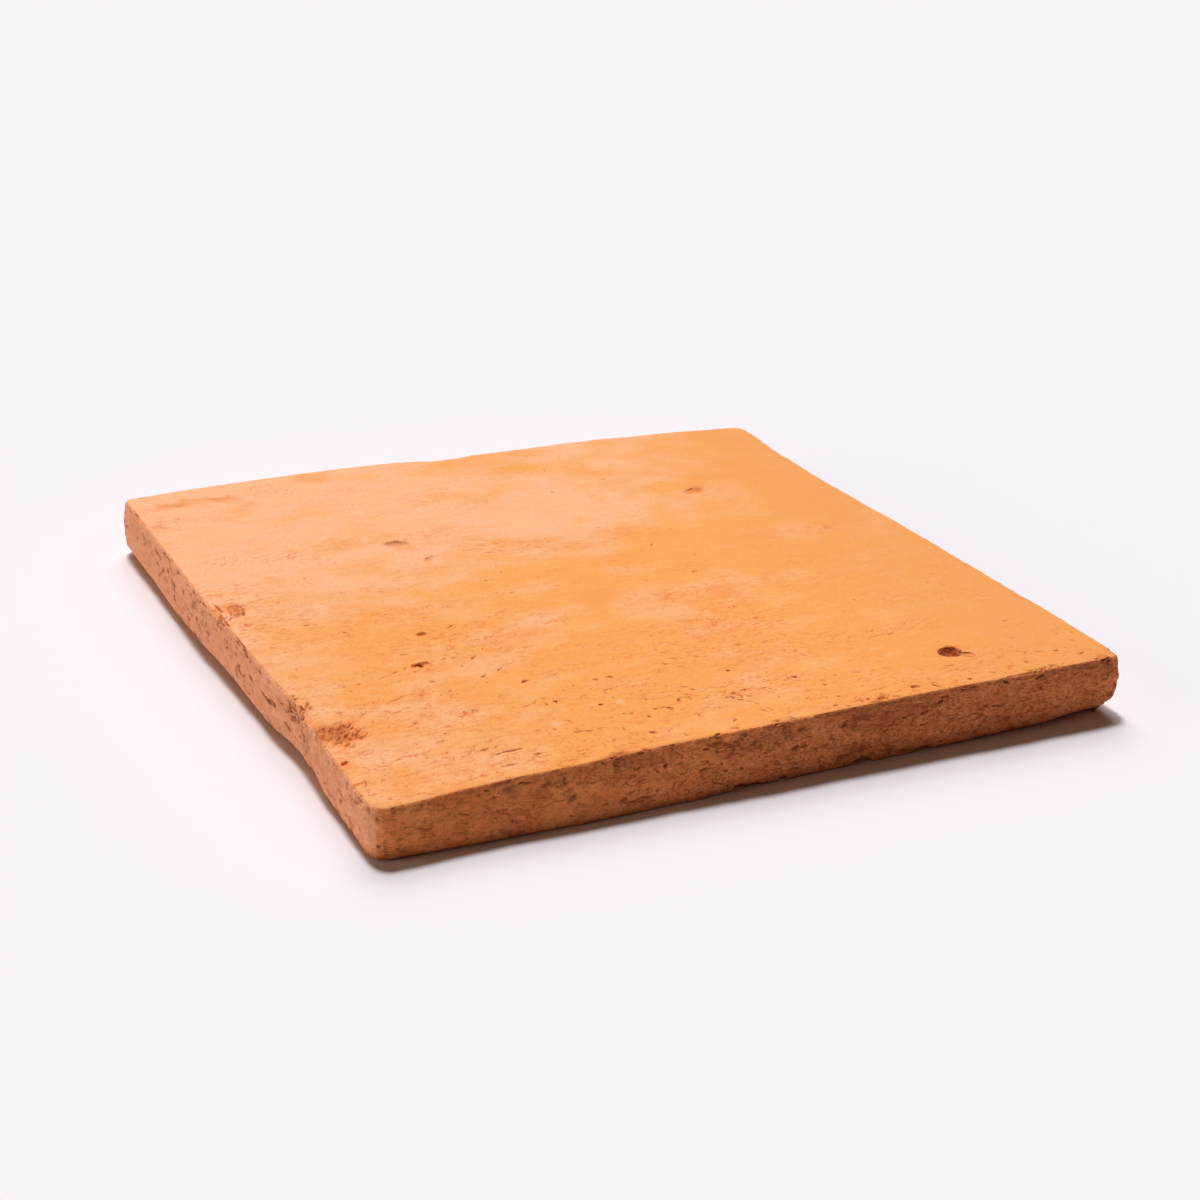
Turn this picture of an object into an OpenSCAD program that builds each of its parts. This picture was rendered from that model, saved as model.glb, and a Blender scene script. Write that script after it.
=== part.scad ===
// Handmade terracotta floor tile: one slab of fired clay, hand pressed in a frame, trimmed and worn.
// The origin is at the middle of the underside. X runs along the front edge and Z is up.

/* [Slab] */
// Length of the front edge
tile_w = 203; // [150:1:300]
// Depth from the front edge to the back edge
tile_d = 204; // [150:1:300]
// Thickness at the corners, before the warp is added
thickness = 15; // [11:0.5:30]
// Plan radius of the most worn corner
corner_r = 4.5; // [4:0.5:8]

/* [Drying and firing] */
// Rise of the front right and back left corners, and fall of the other two
warp = 1.5; // [0:0.1:3]
// How far the face stands above its corners
crown = 0.8; // [0:0.1:2]
// How far a corner may lie out of square along each edge
out_of_square = 1.5; // [0:0.1:3]
// Greatest wander of an edge from a straight line
edge_wander = 3; // [0:0.5:5]

/* [Edges] */
// Radius of the worn upper arris
arris_r = 1.2; // [0.5:0.1:3]
// How far the foot of a side stands out past its arris where it leans most
side_lean = 2; // [0:0.1:3]
// How far the sides swell out at mid height
side_swell = 0.6; // [0:0.1:1.5]
// Roughness of the trimmed sides
side_rough = 0.3; // [0:0.05:0.8]
// How far the underside is drawn in where the foot is well worn
foot_inset = 3; // [1:0.1:3.5]
// Height of the worn foot where it is well worn
foot_rise = 3; // [1:0.5:4]
// Fullness of the worn foot, from 0 for a flat bevel to 1 for a quarter round
foot_fullness = 0.4; // [0:0.1:1]

/* [Pits and chips] */
// Radius of the scoop that makes the largest pit in the face
pit_r = 3.3; // [2:0.1:6]
// Depth of the largest pit in the face
pit_depth = 2.4; // [0.5:0.1:3.5]
// Radius of the scoop that makes a chip in an edge
chip_r = 9; // [5:0.5:14]
// How far the largest chip bites into an edge
chip_bite = 2.2; // [0.5:0.1:3.5]

/* [Hidden] */

// Steps along an edge, round a corner, up the foot, up the side and round the arris
edge_steps = 28;
corner_steps = 4;
foot_steps = 4;
side_steps = 4;
arris_steps = 3;
scoop_fn = 20;

// Lean of a chip at the arris or the foot, in degrees above or below level
chip_lean = 50;

// The face is closed by rings that shrink to its middle by these shares
face_ring_shares = [0.95, 0.8, 0.55, 0.28];

// Corners in turn from the front left, seen from above, with their moves out of square and
// their radii as shares of out_of_square and corner_r
corner_signs = [[-1, -1], [1, -1], [1, 1], [-1, 1]];
square_shares = [[0, -0.45], [0.9, -0.35], [0, -0.35], [-0.3, 0.75]];
corner_r_shares = [1, 0.7, 0.9, 0.6];

// Inward wander of each edge at even steps along it, as shares of edge_wander
front_line_shares = [0, 0.4, 0.3, 0.35, 0.2, 0.2, 0.15, 0.05, 0];
right_line_shares = [0, 0.05, 0.25, 0.35, 0.45, 0.75, 0.85, 0.7, 0];
back_line_shares = [0, -0.5, -0.75, -0.4, -0.1, -0.85, -0.8, -0.6, 0];
left_line_shares = [0, -0.05, -0.15, -0.25, 0.05, 0.15, 0.55, 0.1, 0];
line_shares = [front_line_shares, right_line_shares, back_line_shares, left_line_shares];

// Lean of each side at even steps along it, as shares of side_lean
front_lean_shares = [0.1, 1, 1, 0.8, 0, -0.2, -0.2, -0.2, 0];
right_lean_shares = [0, 0.1, 0.3, 0.4, 0.2, 0.1, 0.3, 0.2, 0];
back_lean_shares = [0, 0.2, 0.4, 0.2, 0.1, 0.3, 0.4, 0.2, 0];
left_lean_shares = [0, 0.1, 0.2, 0, 0.1, 0.2, 0, -0.2, 0.1];
lean_shares = [front_lean_shares, right_lean_shares, back_lean_shares, left_lean_shares];

// Wear of the foot at even steps along each edge, as shares of foot_inset and foot_rise
front_foot_shares = [0.4, 0.3, 0.2, 0.1, 0.15, 0.15, 0.3, 0.7, 1.8];
right_foot_shares = [1.8, 0.7, 0.6, 0.5, 0.7, 0.6, 0.5, 0.6, 0.8];
back_foot_shares = [0.8, 0.6, 0.5, 0.7, 0.6, 0.4, 0.5, 0.7, 0.95];
left_foot_shares = [0.95, 0.9, 0.8, 0.9, 1, 0.9, 1.1, 0.5, 0.4];
foot_shares = [front_foot_shares, right_foot_shares, back_foot_shares, left_foot_shares];

// Cycles round the tile, turn with height and size of each wave in the roughness of the sides
rough_waves = [[13, 65, 0.45], [29, 140, 0.35], [47, 205, 0.2]];

// Pits in the face: place as shares of the half sizes, scoop radius, depth and length as shares
// of pit_r, pit_depth and pit_r, and the direction of the length in degrees
pit_shares = [
    [0.62, -0.815, 1, 1, 0.1, 150],
    [0.655, -0.845, 0.6, 0.25, 0.3, 150],
    [0.57, 0.48, 1.3, 0.35, 0.9, 20],
    [-0.40, 0.40, 1.2, 0.4, 0.8, 160],
    [-0.35, 0.27, 0.8, 0.25, 0.5, 40],
    [-0.56, -0.19, 0.5, 0.3, 0.3, 0],
    [-0.63, -0.36, 0.6, 0.3, 0.9, 10],
    [-0.95, 0.12, 0.9, 0.4, 1.2, 80],
];

// Chips: edge, share along it, height as a share of the thickness, scoop radius, bite and
// length as shares of chip_r, chip_bite and chip_r
chip_shares = [
    [1, 0, 1.05, 0.5, 0.6, 0.2],
    [0, 0.455, 0, 0.2, 0.8, 0.15],
    [0, 0.475, 0, 0.2, 0.5, 0.2],
    [0, 0.517, 0, 0.15, 0.7, 0.05],
    [0, 0.63, 0, 0.3, 0.7, 0.25],
    [0, 0.72, 0, 0.25, 0.7, 0.2],
    [0, 0.803, 0, 0.25, 0.6, 0.15],
    [0, 0.86, 1, 0.7, 0.3, 0.9],
    [0, 0.68, 1, 0.6, 0.2, 0.8],
    [2, 0.5, 1, 1.2, 0.5, 0.8],
    [3, 0.77, 1, 0.8, 0.45, 0.5],
    [3, 0.45, 1, 0.6, 0.4, 0.6],
    [3, 0.8, 0.05, 0.7, 1, 0.3],
];

edge_count = len(corner_signs);
steps_per_edge = edge_steps + corner_steps;
ring_points = edge_count * steps_per_edge;

function ease(t) = t * t * (3 - 2 * t);

// Value of an evenly spaced table at share u along it, eased from one entry to the next
function along(table, u) =
    let (spans = len(table) - 1, i = min(floor(u * spans), spans - 1))
    table[i] + (table[i + 1] - table[i]) * ease(u * spans - i);

function turned(v, angle) =
    [v.x * cos(angle) - v.y * sin(angle), v.x * sin(angle) + v.y * cos(angle)];

function corner_radius(i) = corner_r * corner_r_shares[i];

function corner(i) = [
    corner_signs[i].x * tile_w / 2,
    corner_signs[i].y * tile_d / 2
] + square_shares[i] * out_of_square;

function corner_centre(i) = corner(i) - corner_signs[i] * corner_radius(i);

function edge_normal(e) = turned([0, -1], 90 * e);

// Point of the outline and its outward normal, for edge e at share u
function edge_place(e, u) =
    let (
        n = edge_normal(e),
        next = (e + 1) % edge_count,
        a = corner_centre(e) + n * corner_radius(e),
        b = corner_centre(next) + n * corner_radius(next)
    )
    [a + (b - a) * u - n * edge_wander * along(line_shares[e], u), n];

function corner_place(i, t) =
    let (n = turned(edge_normal(i), -90 * (1 - t)))
    [corner_centre(i) + n * corner_radius(i), n];

// Outline point k as [point, outward normal, edge, share along the edge]
function outline_place(k) =
    let (e = floor(k / steps_per_edge), j = k % steps_per_edge)
    j < corner_steps
        ? concat(corner_place(e, j / corner_steps), [e, 0])
        : let (u = (j - corner_steps) / edge_steps)
          concat(edge_place(e, u), [e, u]);

places = [for (k = [0 : ring_points - 1]) outline_place(k)];

// Height of the face at a plan point: warped like a saddle and dropped a little at the corners
function face_z(p) =
    let (x = 2 * p.x / tile_w, y = 2 * p.y / tile_d)
    thickness - warp * x * y + crown * (1 - x * x * y * y);

function lean(k) = side_lean * along(lean_shares[places[k][2]], places[k][3]);

function wear(place) = along(foot_shares[place[2]], place[3]);

function rough(k, level) =
    let (turns = 360 * k / ring_points)
    side_rough * level * (1 - level) * 4 * [
        for (w = rough_waves) w[2] * sin(w[0] * turns + w[1] * level * side_steps)
    ] * [for (w = rough_waves) 1];

function ring_point(k, inset) = places[k][0] - places[k][1] * inset;

// Between an even slope and a quarter round
function bulged(even, round) = even + (round - even) * foot_fullness;

function foot_ring(s) = [
    for (k = [0 : ring_points - 1])
        let (
            worn = wear(places[k]),
            level = s / foot_steps,
            out = bulged(level, sin(90 * level)),
            up = bulged(level, 1 - cos(90 * level)),
            p = ring_point(k, foot_inset * worn * (1 - out) - lean(k))
        )
        [p.x, p.y, foot_rise * worn * up]
];

function side_ring(s) = [
    for (k = [0 : ring_points - 1])
        let (
            level = s / side_steps,
            p = ring_point(k, rough(k, level) - side_swell * sin(180 * level) - lean(k) * (1 - level)),
            low = foot_rise * wear(places[k]),
            high = face_z(p) - arris_r
        )
        [p.x, p.y, low + (high - low) * level]
];

function arris_ring(s) = [
    for (k = [0 : ring_points - 1])
        let (angle = 90 * s / arris_steps, p = ring_point(k, arris_r * (1 - cos(angle))))
        [p.x, p.y, face_z(p) - arris_r * (1 - sin(angle))]
];

function face_ring(share) = [
    for (q = arris_ring(arris_steps))
        let (p = [q.x, q.y] * share)
        [p.x, p.y, face_z(p)]
];

slab_rings = concat(
    [for (s = [0 : foot_steps]) foot_ring(s)],
    [for (s = [1 : side_steps]) side_ring(s)],
    [for (s = [1 : arris_steps]) arris_ring(s)],
    [for (share = face_ring_shares) face_ring(share)]
);

module slab() {
    ring_count = len(slab_rings);
    points = concat([for (ring = slab_rings) each ring], [[0, 0, face_z([0, 0])]]);
    underside = [[for (k = [0 : ring_points - 1]) k]];
    walls = [
        for (r = [0 : ring_count - 2], k = [0 : ring_points - 1])
            let (
                next = (k + 1) % ring_points,
                a = r * ring_points + k,
                b = r * ring_points + next
            )
            each [[a, a + ring_points, b], [b, a + ring_points, b + ring_points]]
    ];
    middle = [
        for (k = [0 : ring_points - 1])
            let (first = (ring_count - 1) * ring_points)
            [first + k, ring_count * ring_points, first + (k + 1) % ring_points]
    ];
    polyhedron(points = points, faces = concat(underside, walls, middle));
}

// A scoop drawn along a short line, from a to b
module scoop(a, b, radius) {
    hull()
        for (p = [a, b])
            translate(p)
                sphere(r = radius, $fn = scoop_fn);
}

// A pit whose lowest line lies a given depth under the face
module face_pit(p) {
    radius = p[2] * pit_r;
    half = turned([p[4] * pit_r / 2, 0], p[5]);
    middle = [p[0] * tile_w / 2, p[1] * tile_d / 2];
    ends = [
        for (q = [middle - half, middle + half])
            [q.x, q.y, face_z(q) + radius - p[3] * pit_depth]
    ];
    scoop(ends[0], ends[1], radius);
}

// A chip out of the side, an arris or the foot, where clay has broken away in a shell shape
module edge_chip(c) {
    line = edge_place(c[0], c[1]);
    out_at_height = side_lean * along(lean_shares[c[0]], c[1]) * (1 - c[2]);
    place = [line[0] + line[1] * out_at_height, line[1]];
    radius = c[3] * chip_r;
    lean = chip_lean * (2 * c[2] - 1);
    reach = radius - c[4] * chip_bite;
    out = place[0] + place[1] * reach * cos(lean);
    half = turned(place[1], 90) * c[5] * chip_r / 2;
    height = c[2] * face_z(place[0]) + reach * sin(lean);
    scoop([out.x - half.x, out.y - half.y, height], [out.x + half.x, out.y + half.y, height], radius);
}

module terracotta_tile() {
    color("sandybrown")
        difference() {
            slab();
            for (p = pit_shares) face_pit(p);
            for (c = chip_shares) edge_chip(c);
        }
}

terracotta_tile();
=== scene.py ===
"""Handmade terracotta floor tile on a pale floor: finely meshed relief and a fired-clay material."""

import itertools
import math

import bpy
import numpy as np
from mathutils import Matrix, Vector
from mathutils.bvhtree import BVHTree


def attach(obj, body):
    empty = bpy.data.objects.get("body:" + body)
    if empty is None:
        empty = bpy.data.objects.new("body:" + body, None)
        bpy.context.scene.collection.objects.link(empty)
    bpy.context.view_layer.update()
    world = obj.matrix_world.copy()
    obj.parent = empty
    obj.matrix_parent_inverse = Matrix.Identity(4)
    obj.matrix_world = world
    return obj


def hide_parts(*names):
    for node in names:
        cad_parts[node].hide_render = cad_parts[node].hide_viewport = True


MM = 0.001
NODE = "terracotta_tile"

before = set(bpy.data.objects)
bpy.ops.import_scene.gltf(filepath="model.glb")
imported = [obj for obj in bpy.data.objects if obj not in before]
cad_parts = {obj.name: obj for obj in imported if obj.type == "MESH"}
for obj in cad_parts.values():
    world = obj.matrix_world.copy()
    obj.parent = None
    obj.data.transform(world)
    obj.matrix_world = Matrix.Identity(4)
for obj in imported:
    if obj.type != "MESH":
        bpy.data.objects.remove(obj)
bpy.context.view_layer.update()
cad_tree = BVHTree.FromObject(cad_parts[NODE], bpy.context.evaluated_depsgraph_get())
cad_places = np.array([vertex.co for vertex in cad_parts[NODE].data.vertices])
box_low, box_high = cad_places.min(axis=0), cad_places.max(axis=0)

# The photograph's camera: a square frame, in its own pixels, and a view round a point on the floor
PHOTO_SIZE = 1200
FOCAL_PIXELS = 2484
CAMERA_AZIMUTH = math.radians(-25.84)
CAMERA_ELEVATION = math.radians(22.95)
CAMERA_ROLL = math.radians(1.33)
CAMERA_DISTANCE = 703.8 * MM
CAMERA_TARGET = Vector((11.4 * MM, 16.5 * MM, 0))
SENSOR_MM = 36

# The nearest and farthest distances in metres that the camera shows
CAMERA_REACH = (0.01, 50)

# Edge lengths that the relief mesh may have on each kind of surface
FACE_STEP = 2.4 * MM
SHOWN_SIDE_STEP = 0.72 * MM
OTHER_SIDE_STEP = 1.5 * MM
UNDERSIDE_STEP = 6 * MM
PATCH_STEP = 0.45 * MM
MARK_STEP = 0.32 * MM

# The part of a normal along an axis from which a surface counts as level, or as facing that way
LEVEL = 0.93
FACING = 0.4

# Points of the solid this near to each other are one, and points this low are on its underside
WELDED = 0.001 * MM
TOUCHING = 0.02 * MM

# The cells of the grid that holds the wanted edge lengths, and a length that limits nothing
STEP_CELL = 0.5 * MM
UNLIMITED = 1.0
step_shape = [int((high - low) / STEP_CELL) + 1 for low, high in zip(box_low, box_high)]

# How far an edge may pass its wanted length, how often edges are halved, and the triangles allowed
LENGTH_SLACK = 1.2
HALVINGS = 7
MOST_TRIANGLES = 190000

# Depths of the relief in millimetres, and how dark the painted shade in its torn layers, between its grit
# and in its crumbled patches is
FACE_WAVES = 0.12
UNDERSIDE_WAVES = 0.05
SIDE_WAVES = 0.22
GRIT_DEPTH = 0.13
LAYER_DEPTH = 0.28
LAYER_SHADE = 0.50
GRIT_SHADE = 0.25
CRUMBLED_SHADE = 0.55

# The least width in millimetres of a pore or crack, and the share of its depth that is cut in
THINNEST_MARK = 0.5
CUT_SHARE = 0.5

# Random pores and cracks: the seed, their number on the face, places tried for each, the share of
# cracks, and the number on each side by the way that it faces
SEED = 11
FACE_MARKS = 120
TRIES_FOR_EACH = 12
CRACK_SHARE = 0.45
SIDE_MARKS = (((0, -1), 45), ((-1, 0), 45), ((0, 1), 30), ((1, 0), 30))

# Where rays at the tile start, in metres above its underside or out from its middle
ABOVE = 0.1
OUTSIDE = 0.2


def camera_matrix():
    """The camera's place and turn: its X axis to the right, Y up and Z towards the viewer."""
    az, el = CAMERA_AZIMUTH, CAMERA_ELEVATION
    back = Vector((math.sin(az) * math.cos(el), -math.cos(az) * math.cos(el), math.sin(el)))
    right = Vector((math.cos(az), math.sin(az), 0))
    up = back.cross(right)
    c, s = math.cos(CAMERA_ROLL), math.sin(CAMERA_ROLL)
    turned_right = c * right + s * up
    turned_up = c * up - s * right
    matrix = Matrix((turned_right, turned_up, back)).transposed().to_4x4()
    matrix.translation = CAMERA_TARGET + back * CAMERA_DISTANCE
    return matrix


def pixel_ray(u, v):
    """The camera's place and the direction of pixel u, v of the photograph."""
    matrix = camera_matrix()
    half = PHOTO_SIZE / 2
    ray = matrix.to_3x3() @ Vector(((u - half) / FOCAL_PIXELS, (half - v) / FOCAL_PIXELS, -1))
    return matrix.translation, ray.normalized()


def seen_place(u, v):
    """The point of the tile, and the normal there, that shows at pixel u, v of the photograph."""
    eye, ray = pixel_ray(u, v)
    place, normal, _, _ = cad_tree.ray_cast(eye, ray)
    if place is None:
        place, normal, _, _ = cad_tree.find_nearest(eye - ray * (eye.z / ray.z))
    return np.array(place), np.array(normal)


def lattice(ix, iy, iz, seed):
    """A steady random value from 0 to 1 for each whole-number place, by mixing the numbers' bits."""
    h = (ix * 374761393 + iy * 668265263 + iz * 1440670441 + seed * 1274126177) & 0xFFFFFFFF
    h = ((h ^ (h >> 13)) * 1274126177) & 0xFFFFFFFF
    h = ((h ^ (h >> 15)) * 461845907) & 0xFFFFFFFF
    return (h ^ (h >> 16)) / 4294967295.0


def noise(p, size, seed):
    """Smooth noise from -1 to 1 at points p, with cells of the given size along X, Y and Z."""
    q = p / np.asarray(size, float)
    cell = np.floor(q)
    f = q - cell
    f = f * f * f * (f * (f * 6 - 15) + 10)
    cell = cell.astype(np.int64)
    total = np.zeros(len(p))
    for corner in itertools.product((0, 1), repeat=3):
        weight = np.ones(len(p))
        for axis in range(3):
            weight *= f[:, axis] if corner[axis] else 1 - f[:, axis]
        at = [cell[:, axis] + corner[axis] for axis in range(3)]
        total += weight * lattice(at[0], at[1], at[2], seed)
    return total * 2 - 1


def layered_noise(p, size, octaves, seed):
    """Noise with finer and fainter layers on top, from about -1 to 1."""
    size = np.asarray(size, float) * np.ones(3)
    total, strength, sum_of_strengths = np.zeros(len(p)), 1.0, 0.0
    for octave in range(octaves):
        total += strength * noise(p, size / 2**octave, seed + 17 * octave)
        sum_of_strengths += strength
        strength *= 0.5
    return total / sum_of_strengths


def ridges(p, size, octaves, seed):
    """Narrow lines of height 1 where layered noise passes through 0, and 0 where it is 1/6 or more off."""
    return 1 - np.clip(np.abs(layered_noise(p, size, octaves, seed)) * 6, 0, 1)


def ramp(value, low, high):
    """0 at and below low, 1 at and above high, and an even S-curve between. High may be the smaller."""
    t = np.clip((value - low) / (high - low), 0, 1)
    return t * t * (3 - 2 * t)


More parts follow.
